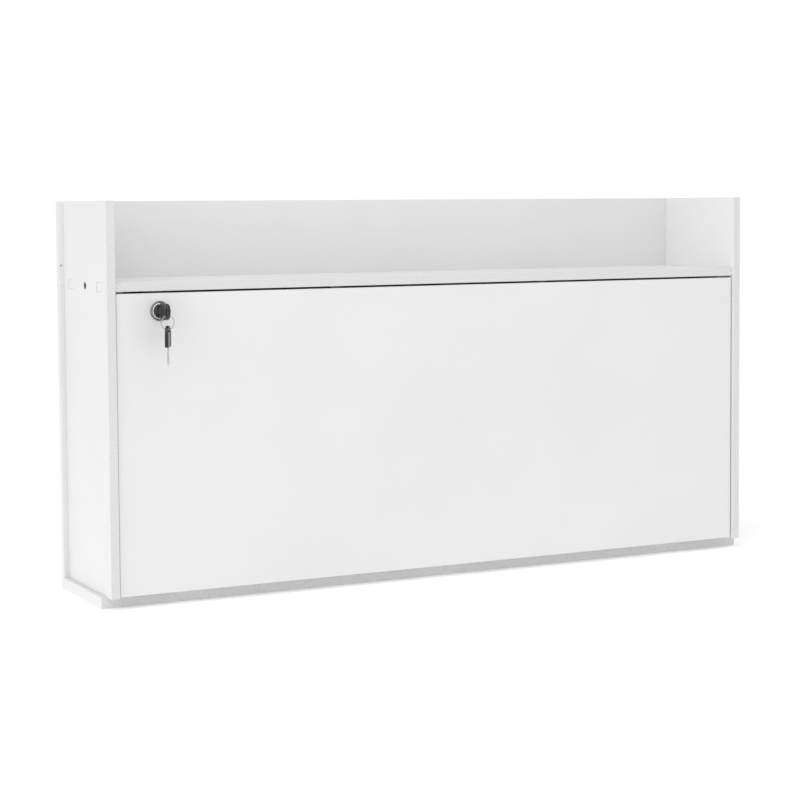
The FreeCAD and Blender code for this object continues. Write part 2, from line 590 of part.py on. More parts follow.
NUT_CORNER = f"(({BARREL_RADIUS} + sizes.nut_wall) / cos(30))"
nut_blank = turned("nut_blank", "Part::Prism", INTO_CASE, (LOCK_X, FLAP_BACK, LOCK_Z),
                   Circumradius=NUT_CORNER, Height="sizes.nut_thick")
node(cut("nut", nut_blank, [lock_round("nut_bore", f"{FLAP_BACK} - {PAST}",
                                       f"{FLAP_BACK} + sizes.nut_thick + {PAST}",
                                       BARREL_RADIUS)]), "lock_nut")

tang_half = "(sizes.tang_side / 2)"
cam_face = f"({BARREL_END} + sizes.end_play)"
cam_back = f"({cam_face} + sizes.cam_thick)"
keyway = block("keyway", (f"{LOCK_X} - sizes.blade_thick / 2 - sizes.keyway_play",
                          f"{LOCK_X} + sizes.blade_thick / 2 + sizes.keyway_play"),
               (f"{PLUG_FACE} - {PAST}",
                f"{PLUG_FACE} + sizes.blade_length - sizes.key_neck + sizes.keyway_end"),
               (f"{LOCK_Z} - sizes.blade_half - sizes.keyway_play",
                f"{LOCK_Z} + sizes.blade_half + sizes.keyway_play"))
cam_screw_hole = lock_round("cam_screw_hole", f"{cam_back} - sizes.cam_screw_bite", f"{cam_back} + {PAST}",
                            "sizes.cam_screw_shank")
plug_solid = fused("plug_solid", [
    lock_round("plug_core", PLUG_FACE, BARREL_END, "sizes.plug_radius"),
    lock_round("plug_rim", PLUG_FACE, rim_back, RIM_RADIUS),
    block("tang", (f"{LOCK_X} - {tang_half}", f"{LOCK_X} + {tang_half}"),
          (BARREL_END, f"{cam_back} - sizes.end_play"),
          (f"{LOCK_Z} - {tang_half}", f"{LOCK_Z} + {tang_half}"))])
node(cut("plug", plug_solid, [keyway, cam_screw_hole]), "lock_plug")

cam_body = fused("cam_blank", [
    lock_round("cam_root", cam_face, cam_back, "sizes.cam_half"),
    block("cam_arm", (f"{LOCK_X} - sizes.cam_reach", LOCK_X), (cam_face, cam_back),
          (f"{LOCK_Z} - sizes.cam_half", f"{LOCK_Z} + sizes.cam_half"))])
square = f"({tang_half} + sizes.plug_play)"
node(cut("cam_plate", cam_body, [
    block("cam_square", (f"{LOCK_X} - {square}", f"{LOCK_X} + {square}"),
          (f"{cam_face} - {PAST}", f"{cam_back} + {PAST}"),
          (f"{LOCK_Z} - {square}", f"{LOCK_Z} + {square}"))]), "lock_cam")
cam_screw_head = turned("cam_screw_head", "Part::Prism", INTO_CASE, (LOCK_X, cam_back, LOCK_Z),
                        Circumradius="sizes.cam_screw_head", Height="sizes.cam_screw_thick")
node(fused("cam_screw_solid", [
    cam_screw_head, lock_round("cam_screw_shank", f"{cam_back} - sizes.cam_screw_bite", cam_back,
                               "sizes.cam_screw_shank")]), "cam_screw")

# The raised cam passes behind the strike's leg, which hangs from the gallery shelf.
leg_back = f"({cam_face} - sizes.strike_gap)"
leg_front = f"({leg_back} - sizes.strike_plate_thick)"
foot_back = f"({leg_back} + sizes.strike_foot)"
strike_screws = [small_screw(f"strike_screw_{number}", (0, 0, 1),
                             (f"{LOCK_X} + {step} * sizes.strike_half / 2",
                              f"{leg_back} + sizes.strike_foot / 2",
                              f"{SHELF_UNDER} - sizes.strike_plate_thick"), "sizes.strike_plate_thick")
                 for number, step in enumerate(SIDES)]
strike_x = (f"{LOCK_X} - sizes.strike_half", f"{LOCK_X} + sizes.strike_half")
strike_solid = fused("strike_solid", [
    block("strike_foot", strike_x, (leg_front, foot_back),
          (f"{SHELF_UNDER} - sizes.strike_plate_thick", SHELF_UNDER)),
    block("strike_leg", strike_x, (leg_front, leg_back),
          (f"{SHELF_UNDER} - sizes.strike_leg", SHELF_UNDER))])
node(cut("strike", strike_solid, strike_screws), "strike_plate")
node(group("strike_screw_set", strike_screws), "strike_screws")


# ---------------------------------------------------------------- keys on their ring
# One key is drawn lying along Y, blade forwards, with its shoulder at the origin. Both keys
# are placed copies of it.
slot_line = "(sizes.slot_from_end - sizes.head_length)"
head_x = ("-sizes.head_thick / 2", "sizes.head_thick / 2")
blade_x = ("-sizes.blade_thick / 2", "sizes.blade_thick / 2")


def head_round(name, y, z, radius):
    """A round of the key's head, as thick as the head."""
    return cylinder(name, (1, 0, 0), (head_x[0], y, z), radius, "sizes.head_thick")


def key_notch(name, y, z, depth):
    """A diamond bar centred on the blade's edge, which cuts a V of one depth."""
    bar = doc.addObject("Part::Box", name)
    bar.Placement = FreeCAD.Placement(FreeCAD.Vector(), FreeCAD.Rotation(FreeCAD.Vector(1, 0, 0), 45))
    bar.setExpression("Length", "sizes.blade_thick * 2")
    bar.setExpression("Width", f"{depth} * sqrt(2)")
    bar.setExpression("Height", f"{depth} * sqrt(2)")
    return put(bar, ("-sizes.blade_thick", y, f"({z}) - {depth}"))


BITTING = ((0.36, 1.1), (0.52, 0.7), (0.68, 1.3), (0.84, 0.9))  # share of the blade, depth
bits = [key_notch(f"key_bit_{number}", f"{share} * sizes.blade_length", "-sizes.blade_half", f"{depth}")
        for number, (share, depth) in enumerate(BITTING)]
tips = [key_notch(f"key_tip_{number}", "sizes.blade_length", f"{step} * sizes.blade_half",
                  "sizes.blade_point") for number, step in enumerate(SIDES)]
blade_blank = block("blade_blank", blade_x, ("-sizes.blade_tang", "sizes.blade_length"),
                    ("-sizes.blade_half", "sizes.blade_half"))
blade = cut("blade", cut("blade_bitted", blade_blank, bits), tips)

arc_line = "(sizes.head_half - sizes.head_length)"
slot_end = "(sizes.slot_half - sizes.slot_width / 2)"
head_blank = fused("head_blank", [
    block("head_block", head_x, (arc_line, "0"), ("-sizes.head_half", "sizes.head_half")),
    head_round("head_end", arc_line, "0", "sizes.head_half")])
slot = fused("head_slot", [
    block("head_slot_block", head_x,
          (f"{slot_line} - sizes.slot_width / 2", f"{slot_line} + sizes.slot_width / 2"),
          (f"-{slot_end}", slot_end)),
    head_round("head_slot_low", slot_line, f"-{slot_end}", "sizes.slot_width / 2"),
    head_round("head_slot_high", slot_line, slot_end, "sizes.slot_width / 2")])
head = cut("head_hollowed", cut("head_slotted", head_blank, [slot]), [blade_blank])

key_shoulder = f"({PLUG_FACE} - sizes.key_neck)"
slot_y = f"({key_shoulder} + {slot_line})"
wire_rise = "(sizes.wire_radius + sizes.ring_slack)"
RING_PIVOT_Z = f"({LOCK_Z} - sizes.slot_half + {wire_rise})"
RING_Z = f"({RING_PIVOT_Z} - sizes.ring_radius)"
spare_slot_z = f"({RING_Z} - sizes.ring_radius + {wire_rise} - sizes.slot_width / 2)"
flat_turn = FreeCAD.Rotation(UP, -float(sheet.get("spare_turn")))
hang_down = FreeCAD.Rotation(FreeCAD.Vector(1, 0, 0), -90)


def key_copy(name, piece, turn, at):
    shape = doc.addObject("Part::Compound", name)
    shape.Links = [piece]
    shape.Placement = FreeCAD.Placement(FreeCAD.Vector(), turn)
    return put(shape, at)


key_places = {
    "key": (FreeCAD.Rotation(), (LOCK_X, key_shoulder, LOCK_Z)),
    "spare_key": (flat_turn * hang_down, (LOCK_X, slot_y, f"{spare_slot_z} + {slot_line}")),
}
for name, (turn, at) in key_places.items():
    node(key_copy(name + "_blade_copy", blade, turn, at), name + "_blade")
    node(key_copy(name + "_head_copy", head, turn, at), name + "_head")
node(turned("ring", "Part::Torus", INTO_CASE, (LOCK_X, slot_y, RING_Z),
            Radius1="sizes.ring_radius", Radius2="sizes.wire_radius"), "key_ring")

# ---------------------------------------------------------------- boards
whole_width = ("-sizes.case_width / 2", "sizes.case_width / 2")
case_depth = (FRONT, BACK_FACE)
back_depth = (BACK_FACE, WALL)


def picked(table, *start):
    """The shapes of a table whose keys start with the given words."""
    return [shape for key, shape in table.items() if key[:len(start)] == start]


for side in SIDES:
    end = NEAR_END[side]
    x = (SIDE_IN, SIDE_OUT) if side > 0 else (f"-{SIDE_OUT}", f"-{SIDE_IN}")
    sockets = [block(f"tenon_socket_{end}_{spot}", (f"{x[0]} - {PAST}", f"{x[1]} + {PAST}"),
                     (f"{low} - sizes.joint_gap", f"{high} + sizes.joint_gap"),
                     (f"{SHELF_UNDER} - sizes.joint_gap", f"{SHELF_TOP} + sizes.joint_gap"))
               for spot, (low, high) in tenon_lines.items()]
    fasteners = [*picked(base_screws, "side", side), *picked(back_screws, "upper", "side", side),
                 *picked(back_screws, "lower", "side", side), side_stay_screws[(side, 0)],
                 side_stay_screws[(side, 1)], stop_screws[side]]
    node(cut(f"side_{end}", board(f"side_board_{end}", x, case_depth, (BASE_TOP, TOP)),
             [*sockets, bolt_recesses[side], *fasteners]), f"side_{end}")

node(cut("back_upper", board("back_upper_board", whole_width, back_depth, (SEAM, TOP)),
         picked(back_screws, "upper")), "back_upper")
wall_rows = (("low", "sizes.wall_hole_low"), ("high", f"{SEAM} - sizes.wall_hole_drop"))
wall_holes = [cylinder(f"wall_hole_{NEAR_END[side]}_{tier}", INTO_CASE,
                       (f"{side} * ({SIDE_IN} - sizes.wall_hole_inset)", f"{BACK_FACE} - {PAST}", height),
                       "sizes.wall_hole_radius", f"sizes.back_board + 2 * {PAST}")
              for side in SIDES for tier, height in wall_rows]
node(cut("back_lower", board("back_lower_board", whole_width, back_depth, ("0", SEAM)),
         [*picked(back_screws, "lower"), *wall_holes]), "back_lower")
node(cut("base", board("base_blank", whole_width, (BASE_FRONT, BACK_FACE), ("0", BASE_TOP)),
         [*base_screws.values(), *base_hinge_screws]), "base_board")

shelf_blank = board("shelf_blank", (f"-{SIDE_IN}", SIDE_IN), (FLAP_FACE, BACK_FACE),
                    (SHELF_UNDER, SHELF_TOP))
tenons = [block(f"tenon_{NEAR_END[side]}_{spot}",
                across(side, "sizes.tenon_sink - sizes.side_board", "sizes.tenon_root"), depth,
                (SHELF_UNDER, SHELF_TOP))
          for side in SIDES for spot, depth in tenon_lines.items()]
node(cut("gallery", fused("shelf_and_tenons", [shelf_blank, *tenons]),
         [*bolt_recesses.values(), *dowels.values(), *strike_screws]), "gallery_shelf")

for side in SIDES:
    end = NEAR_END[side]
    half = "sizes.divider_board / 2"
    blank = board(f"divider_blank_{end}",
                  (f"{side} * {divider_line} - {half}", f"{side} * {divider_line} + {half}"),
                  (BASE_FRONT, BACK_FACE), (BASE_TOP, SHELF_UNDER))
    node(cut(f"divider_{end}", blank, [
        *picked(base_screws, "divider", side), *picked(dowels, side), *picked(inner_screws, side),
        *picked(back_screws, "lower", "divider", side)]), f"divider_{end}")
inner_half = f"({divider_line} - sizes.divider_board / 2)"
inner_blank = board("inner_blank", (f"-{inner_half}", inner_half),
                    (INNER_FRONT, BACK_FACE),
                    ("sizes.inner_shelf_top - sizes.inner_board", "sizes.inner_shelf_top"))
node(cut("inner", inner_blank, list(inner_screws.values())), "inner_shelf")

flap_blank = board("flap_blank", (f"-{FLAP_EDGE}", FLAP_EDGE), (FLAP_FACE, FLAP_BACK),
                   (FLAP_FOOT, FLAP_TOP))
node(cut("flap_cut", flap_blank, [
    double_flat("lock_hole", f"{FLAP_FACE} - {PAST}", f"{FLAP_BACK} + {PAST}", "sizes.joint_gap"),
    *flap_hinge_screws, *flap_stay_screws]), "flap")

# ---------------------------------------------------------------- checks and files
doc.recompute()
for item in doc.Objects:
    if "Invalid" in item.State or "Error" in item.State:
        raise RuntimeError(f"{item.Name} failed: {item.State}")
labels = [item.Label for item in nodes]
if len(set(labels)) != len(labels):
    raise RuntimeError("two sub-parts share a name")
for item in nodes:
    if item.Shape.isNull() or not item.Shape.isValid() or not item.Shape.Solids:
        raise RuntimeError(f"{item.Label} has no valid solid")

os.makedirs("parts", exist_ok=True)
for item in nodes:
    item.Shape.exportStep(f"parts/{item.Label}.step")
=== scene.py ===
from math import cos, pi, radians, sin
import bmesh
import bpy
import numpy as np
from mathutils import Matrix, Vector


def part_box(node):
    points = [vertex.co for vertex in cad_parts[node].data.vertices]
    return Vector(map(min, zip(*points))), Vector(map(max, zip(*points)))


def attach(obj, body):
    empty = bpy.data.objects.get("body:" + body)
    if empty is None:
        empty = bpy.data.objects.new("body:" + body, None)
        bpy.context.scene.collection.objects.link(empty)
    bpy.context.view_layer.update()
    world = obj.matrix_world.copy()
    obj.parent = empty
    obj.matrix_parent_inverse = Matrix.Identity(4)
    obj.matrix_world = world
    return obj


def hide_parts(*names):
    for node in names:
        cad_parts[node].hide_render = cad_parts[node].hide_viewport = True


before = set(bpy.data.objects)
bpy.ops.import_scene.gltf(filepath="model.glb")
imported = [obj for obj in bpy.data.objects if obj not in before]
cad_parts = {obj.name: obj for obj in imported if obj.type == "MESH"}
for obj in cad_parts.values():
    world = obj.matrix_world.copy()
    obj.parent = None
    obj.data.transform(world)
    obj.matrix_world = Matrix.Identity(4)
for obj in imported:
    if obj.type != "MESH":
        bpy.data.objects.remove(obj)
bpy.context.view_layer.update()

MM = 0.001
TURN = 2 * pi
# In a mesh, corners this near (in metres) are one, edges this short go, and edges this sharp show.
WELD, SLIVER, CREASE = 1e-7, 1e-8, radians(32)


# ---------------------------------------------------------------- shapes
def around(steps):
    """Evenly spaced angles once round, without the repeated last one."""
    return np.linspace(0, TURN, steps, endpoint=False)


def lathed(rows, angles):
    """Rings round the Z axis: row i has radius rows[i][0] and height rows[i][1], each of them a
    number or an array over the angles, so that a ring need not be round or level."""
    radius = np.stack([np.broadcast_to(row[0], angles.shape) for row in rows])
    height = np.stack([np.broadcast_to(row[1], angles.shape) for row in rows])
    return np.stack([radius * np.cos(angles), radius * np.sin(angles), height], -1)


def tube(path, radius, steps):
    """A round wire: at each point of the path, a circle in the plane across the path's direction,
    with the first and last circles shrunk to their centres to close the ends."""
    ahead = np.gradient(path, axis=0)
    ahead /= np.linalg.norm(ahead, axis=1, keepdims=True)
    side = np.cross(ahead, np.array([0.0, 1.0, 0.0]))
    side /= np.linalg.norm(side, axis=1, keepdims=True)
    up = np.cross(side, ahead)
    turns = around(steps)
    ring = (np.cos(turns)[None, :, None] * side[:, None] + np.sin(turns)[None, :, None] * up[:, None])
    body = path[:, None] + radius * ring
    first = np.broadcast_to(path[:1, None], body[:1].shape)
    last = np.broadcast_to(path[-1:, None], body[-1:].shape)
    return np.concatenate([first, body, last])


def placed(points, matrix):
    """A grid of points carried by a 4 x 4 matrix."""
    m = np.array(matrix)
    return points @ m[:3, :3].T + m[:3, 3]


def piece(name, grids, finishes, body, replaced, bands=None):
    """One mesh from grids of points whose columns close on themselves. Each cell is a face, facing
    outwards. bands gives each row of cells the number of its finish."""
    corners, faces, numbers = [], [], []
    start = 0
    for points in grids:
        rows, columns = points.shape[:2]
        row, column = np.meshgrid(np.arange(rows - 1), np.arange(columns), indexing="ij")
        after = (column + 1) % columns
        cells = np.stack([row * columns + column, (row + 1) * columns + column,
                          (row + 1) * columns + after, row * columns + after], -1)
        corners.append(points.reshape(-1, 3))
        faces.append(cells.reshape(-1, 4) + start)
        numbers.append(np.repeat(bands if bands is not None else np.zeros(rows - 1, int), columns))
        start += rows * columns
    mesh = bpy.data.meshes.new(name)
    mesh.from_pydata(np.concatenate(corners).tolist(), [], np.concatenate(faces).tolist())
    mesh.polygons.foreach_set("material_index", np.concatenate(numbers).astype(np.int32))
    work = bmesh.new()
    work.from_mesh(mesh)
    bmesh.ops.remove_doubles(work, verts=work.verts, dist=WELD)
    bmesh.ops.dissolve_degenerate(work, edges=work.edges, dist=SLIVER)
    bmesh.ops.recalc_face_normals(work, faces=work.faces)
    work.to_mesh(mesh)
    work.free()
    mesh.shade_smooth()
    mesh.set_sharp_from_angle(angle=CREASE)
    made = bpy.data.objects.new(name, mesh)
    bpy.context.scene.collection.objects.link(made)
    for finish in finishes:
        mesh.materials.append(finish)
    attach(made, body)
    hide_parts(*replaced)
    return made


def islands(node):
    """The (lowest, highest) corners of each separate solid in a CAD node. Corners at one place
    share a number, and each takes the lowest number that an edge joins it to until none changes."""
    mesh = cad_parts[node].data
    points = np.empty(len(mesh.vertices) * 3, np.float32)
    mesh.vertices.foreach_get("co", points)
    points = points.reshape(-1, 3)
    ends = np.empty(len(mesh.edges) * 2, np.int32)
    mesh.edges.foreach_get("vertices", ends)
    _, place = np.unique(np.round(points / (0.001 * MM)).astype(np.int64), axis=0, return_inverse=True)
    place = place.reshape(-1)
    ends = place[ends].reshape(-1, 2)
    number, before = np.arange(len(place)), None
    while before is None or (number != before).any():
        before = number.copy()
        lowest = number[ends].min(1)
        np.minimum.at(number, ends[:, 0], lowest)
        np.minimum.at(number, ends[:, 1], lowest)
    number = number[place]
    solids = [points[number == solid] for solid in np.unique(number)]
    return [(Vector(solid.min(0)), Vector(solid.max(0))) for solid in solids]


# ---------------------------------------------------------------- finishes
def linear(hexes):
    """An sRGB hex colour as linear RGBA."""
    part = [int(hexes[place:place + 2], 16) / 255 for place in (0, 2, 4)]
    return tuple(v / 12.92 if v <= 0.04045 else ((v + 0.055) / 1.055) ** 2.4 for v in part) + (1,)


def add(finish, kind, inputs=None, **settings):
    """Add a node with its settings, and set its inputs, or link them to a socket or to another
    node's first output."""
    made = finish.node_tree.nodes.new("ShaderNode" + kind)
    for name, value in settings.items():
        setattr(made, name, value)
    for name, value in (inputs or {}).items():
        if isinstance(value, bpy.types.Node):
            value = next(socket for socket in value.outputs if socket.enabled)
        if isinstance(value, bpy.types.NodeSocket):
            finish.node_tree.links.new(value, made.inputs[name])
        else:
            made.inputs[name].default_value = value
    return made


def blank(name):
    """A new material with no nodes."""
    finish = bpy.data.materials.new(name)
    finish.use_nodes = True
    finish.node_tree.nodes.clear()
    return finish


def per_metre(size_mm):
    """The scale at which a pattern's features are about that many millimetres apart."""
    return 1000 / size_mm


def span(low, high, first, last):
    """The settings that stretch a value's range low to high onto first to last."""
    return {"From Min": low, "From Max": high, "To Min": first, "To Max": last}


COLOUR = {"data_type": "RGBA"}
# How many times longer than wide the lines of a rolled, drawn or turned metal are, and wood's fibres.
STREAK, FIBRE = 12.0, 8.0


def white_melamine(name, axis, knock=None):
    """Melamine-faced chipboard: a white printed paper pressed with a fine pearl texture, which
    gives a low, even sheen and a slight orange peel. The narrow edges carry a thinner tape of
    the same white, trimmed by a cutter: greyer, finely speckled and a little duller, except on
    the short ends at the desk's sides, which are faced like the boards. Scuffs gather near the
    foot. The real pearl and speckle are about half a millimetre: both are drawn three times
    coarser, so that they still show on a whole desk. axis is the one that the board's two faces
    look along, and knock is the place of one small chip, down to the brown board."""
    finish = blank(name)
    own = add(finish, "TexCoord")
    place = own.outputs["Object"]
    looks = add(finish, "SeparateXYZ", {"Vector": own.outputs["Normal"]})
    square = add(finish, "Math", {0: looks.outputs[axis]}, operation="ABSOLUTE")
    sideways = add(finish, "Math", {0: looks.outputs["X"]}, operation="ABSOLUTE")
    either = add(finish, "Math", {0: square, 1: sideways}, operation="MAXIMUM")
    face = add(finish, "MapRange", {"Value": either, **span(0.75, 0.95, 0, 1)})
    cloud = add(finish, "TexNoise", {"Vector": place, "Scale": per_metre(140), "Detail": 3})
    pearl = add(finish, "TexNoise", {"Vector": place, "Scale": per_metre(1.6), "Detail": 2})
    speck = add(finish, "TexNoise", {"Vector": place, "Scale": per_metre(1.5), "Detail": 2, "Roughness": 0.7})
    drift = add(finish, "MapRange", {"Value": cloud, **span(0.3, 0.7, 0, 1)})
    board = add(finish, "Mix", {"Factor": drift, "A": linear("E2E2E3"), "B": linear("E6E6E6")}, **COLOUR)
    dots = add(finish, "MapRange", {"Value": pearl, **span(0.35, 0.65, 0, 0.35)})
    board = add(finish, "Mix", {"Factor": dots, "A": board, "B": linear("DEDEDF")}, **COLOUR)
    specks = add(finish, "MapRange", {"Value": speck, **span(0.35, 0.65, 0, 1)})
    tape = add(finish, "Mix", {"Factor": specks, "A": linear("D0D0D1"), "B": linear("DFDFDF")}, **COLOUR)
    colour = add(finish, "Mix", {"Factor": face, "A": tape, "B": board}, **COLOUR)
    height = add(finish, "SeparateXYZ", {"Vector": place}).outputs["Z"]
    low = add(finish, "MapRange", {"Value": height, **span(0, 0.03, 1, 0)})
    patch = add(finish, "TexNoise", {"Vector": place, "Scale": per_metre(18), "Detail": 6, "Roughness": 0.7})
    rub = add(finish, "MapRange", {"Value": patch, **span(0.58, 0.7, 0, 0.25)})
    scuff = add(finish, "Math", {0: low, 1: rub}, operation="MULTIPLY")
    colour = add(finish, "Mix", {"Factor": scuff, "A": colour, "B": linear("B9B7B3")}, **COLOUR)
    if knock:
        near = add(finish, "VectorMath", {0: place, 1: knock}, operation="DISTANCE")
        crumbs = add(finish, "TexNoise", {"Vector": place, "Scale": per_metre(2.5), "Detail": 3})
        ragged = add(finish, "Math", {0: crumbs, 1: 0.004, 2: near}, operation="MULTIPLY_ADD")
        chipped = add(finish, "MapRange", {"Value": ragged, **span(0.0038, 0.003, 0, 0.7)})
        colour = add(finish, "Mix", {"Factor": chipped, "A": colour, "B": linear("9A958F")}, **COLOUR)
    sheen = add(finish, "MapRange", {"Value": pearl, **span(0.3, 0.7, 0.36, 0.46)})
    dull = add(finish, "Mix", {"Factor": face, "A": 0.58, "B": sheen})
    relief = add(finish, "Mix", {"Factor": face, "A": speck, "B": pearl})
    bump = add(finish, "Bump", {"Height": relief, "Strength": 0.12, "Distance": 0.05 * MM})
    shader = add(finish, "BsdfPrincipled", {"Base Color": colour, "Roughness": dull, "IOR": 1.5,
                                            "Normal": bump})
    add(finish, "OutputMaterial", {"Surface": shader})
    return finish


def rolled_metal(name, light, dark, rough, streak_mm, along, scratch=0.15):
    """A plated or bare metal with the fine lines that rolling, drawing or turning leaves, along
    one axis: the lines vary the sheen and barely the colour, and a few wider stains darken it."""
    finish = blank(name)
    place = add(finish, "TexCoord").outputs["Object"]
    stretch = [1.0 if axis == along else STREAK for axis in "XYZ"]
    drawn = add(finish, "Mapping", {"Vector": place, "Scale": stretch})
    lines = add(finish, "TexNoise", {"Vector": drawn, "Scale": per_metre(streak_mm), "Detail": 4,
                                     "Roughness": 0.6})
    stain = add(finish, "TexNoise", {"Vector": place, "Scale": per_metre(9), "Detail": 3})
    stains = add(finish, "MapRange", {"Value": stain, **span(0.35, 0.7, 0, 1)})
    colour = add(finish, "Mix", {"Factor": stains, "A": linear(light), "B": linear(dark)}, **COLOUR)
    sheen = add(finish, "MapRange", {"Value": lines, **span(0.3, 0.7, rough * 0.8, rough * 1.3)})
    bump = add(finish, "Bump", {"Height": lines, "Strength": scratch, "Distance": 0.02 * MM})
    shader = add(finish, "BsdfPrincipled", {"Base Color": colour, "Metallic": 1.0, "Roughness": sheen,
                                            "Normal": bump})
    add(finish, "OutputMaterial", {"Surface": shader})
    return finish


def moulded(name, light, dark, rough, grain_mm, relief_mm):
    """An injection-moulded plastic: one colour right through, with the tool's spark-eroded grain
    and slight flow marks in the sheen."""
    finish = blank(name)
    place = add(finish, "TexCoord").outputs["Object"]
    grain = add(finish, "TexNoise", {"Vector": place, "Scale": per_metre(grain_mm), "Detail": 2})
    flow = add(finish, "TexNoise", {"Vector": place, "Scale": per_metre(8), "Detail": 3})
    marks = add(finish, "MapRange", {"Value": flow, **span(0.35, 0.65, 0, 1)})
    colour = add(finish, "Mix", {"Factor": marks, "A": linear(light), "B": linear(dark)}, **COLOUR)
    sheen = add(finish, "MapRange", {"Value": flow, **span(0.3, 0.7, rough * 0.85, rough * 1.2)})
    bump = add(finish, "Bump", {"Height": grain, "Strength": 0.25, "Distance": relief_mm * MM})
    shader = add(finish, "BsdfPrincipled", {"Base Color": colour, "Roughness": sheen, "IOR": 1.49,
                                            "Normal": bump})
    add(finish, "OutputMaterial", {"Surface": shader})
    return finish


def beech(name):
    """A fluted beech dowel: pale straight-grained wood with short dark flecks, sanded and bare."""
    finish = blank(name)
    place = add(finish, "TexCoord").outputs["Object"]
    drawn = add(finish, "Mapping", {"Vector": place, "Scale": [FIBRE, FIBRE, 1.0]})
    fibre = add(finish, "TexNoise", {"Vector": drawn, "Scale": per_metre(6), "Detail": 5, "Roughness": 0.6})
    grain = add(finish, "MapRange", {"Value": fibre, **span(0.3, 0.7, 0, 1)})
    colour = add(finish, "Mix", {"Factor": grain, "A": linear("D8B48A"), "B": linear("B98F62")}, **COLOUR)
    bump = add(finish, "Bump", {"Height": fibre, "Strength": 0.3, "Distance": 0.05 * MM})
    shader = add(finish, "BsdfPrincipled", {"Base Color": colour, "Roughness": 0.62, "IOR": 1.5,
                                            "Normal": bump})
    add(finish, "OutputMaterial", {"Surface": shader})
    return finish


# One small chip on the upper back board, at its left edge.
CHIP = (-0.3975, 0.0655, 0.351)
# Boards, by the axis that their faces look along.
board_x = white_melamine("white_melamine_upright", "X")
board_y = white_melamine("white_melamine_front_and_back", "Y", CHIP)
board_z = white_melamine("white_melamine_level", "Z")
# Bright zinc-plated screws, turned and tumbled.
zinc_plate = rolled_metal("zinc_plated_screw", "C9CBCC", "A9ADB2", 0.34, 0.5, "Z")
# Nickel-plated pressed steel of the hinges and the stays' plates and brackets.
nickel_sheet = rolled_metal("nickel_plated_steel_sheet", "D0CFCB", "B4B3B0", 0.28, 1.2, "X")
# Drawn bright steel rod.
drawn_steel = rolled_metal("drawn_steel_rod", "CFD0D1", "B2B4B6", 0.2, 1.0, "Y")
# Black nickel on the bolts, buffed grey where a key or the cam has rubbed. The strike is given the same dark
# finish as painted shade, so that the gap above the flap looks dark.
black_nickel_and_gap_shade = rolled_metal("black_nickel_bolt_and_strike_gap_shade", "77777A", "59595C", 0.36, 0.6, "X")
# Smoked chrome on the lock's zinc die casting.
smoked_chrome = rolled_metal("smoked_chrome_lock_case", "8E8F92", "606166", 0.16, 0.8, "Y", 0.08)
# The polished ring inside the flange.
bright_chrome = rolled_metal("bright_chrome_ring", "F2F2F2", "DADADB", 0.08, 0.8, "Y", 0.05)
# Turned plug of the lock.
plug_metal = rolled_metal("turned_zinc_plug", "A6A7AA", "808185", 0.24, 0.4, "X", 0.2)
# Nickel silver key blades.
key_blank = rolled_metal("nickel_silver_key_blank", "DCDCDB", "BDBDBC", 0.26, 0.6, "Y")
# Hardened spring wire of the ring, nickel plated.
spring_wire = rolled_metal("plated_spring_wire", "B4B6B8", "94979A", 0.14, 0.8, "X", 0.06)
# Black key heads, glossy ABS.
black_abs = moulded("glossy_black_abs_key_head", "26272A", "19191B", 0.22, 0.35, 0.01)
# White nylon of the stays' guides.
white_nylon = moulded("white_nylon_guide", "E4E3DE", "D8D6D0", 0.42, 0.5, 0.02)
# White polythene of the flap stops.
white_stop = moulded("white_polythene_stop", "E8E8E6", "DBDBD8", 0.5, 0.7, 0.03)
# The dividers' dowels.
beech_wood = beech("beech_dowel")

SIDES = ("left", "right")
CAD_FINISH = {
    board_x: ["side_left", "side_right", "divider_left", "divider_right"],
    board_y: ["back_upper", "back_lower", "flap"],
    board_z: ["base_board", "gallery_shelf", "inner_shelf"],
    nickel_sheet: [f"hinge_{part}_leaf_{end}" for part in ("base", "flap") for end in (*SIDES, "middle")]
    + [f"stay_{part}_{end}" for part in ("stud_plate", "flap_bracket") for end in SIDES],
    drawn_steel: ["hinge_pins", "stay_pins", *[f"stay_rod_{end}" for end in SIDES]],
    white_nylon: [f"stay_guide_{end}" for end in SIDES],
    white_stop: ["flap_stops"],
    smoked_chrome: ["lock_nut"],
    plug_metal: ["lock_plug"],
    zinc_plate: ["lock_cam", "cam_screw"],
    beech_wood: ["divider_dowels"],
    # The strike's dark finish is painted shade: it keeps the gap above the flap dark.
    black_nickel_and_gap_shade: ["strike_plate"],
}
for finish, names in CAD_FINISH.items():
    for name in names:
        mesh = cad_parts[name].data
        mesh.materials.clear()
        mesh.materials.append(finish)


# ---------------------------------------------------------------- screws and bolts
def facing(low, high, axis, sign):
    """A matrix that lays something drawn from a face at the origin up its Z axis, inside a box,
    with its face at the box's low or high end along one axis."""
    middle = (low + high) / 2
    way = Vector([sign if number == axis else 0 for number in range(3)])
    middle[axis] = low[axis] if sign > 0 else high[axis]
    return Matrix.Translation(middle) @ way.to_track_quat("Z", "Y").to_matrix().to_4x4()


def countersunk_screw(length, head, shank):
    """A screw drawn from its face down the Z axis: a tapered cross recess whose edge is the
    smaller of its reach and its half arm over the lesser of |sin| and |cos|, a flat face, a 90
    degree cone, a shank and a point."""
    angles = around(48)
    lesser = np.minimum(np.abs(np.sin(angles)), np.abs(np.cos(angles)))
    reach, half_arm, deep, eased = 0.56 * head, 0.13 * head, 0.42 * head, 0.05 * head
    cross = np.minimum(reach, half_arm / np.maximum(lesser, 0.05))
    tip = 2.5 * shank
    return lathed([(0, deep), (0.45 * cross, deep), (cross, eased), (cross * 1.04, 0),
                   (head * 0.95, 0), (head, eased), (shank, head - shank * 0.95),
                   (shank, length - tip), (0.1 * shank, length), (0, length)], angles)


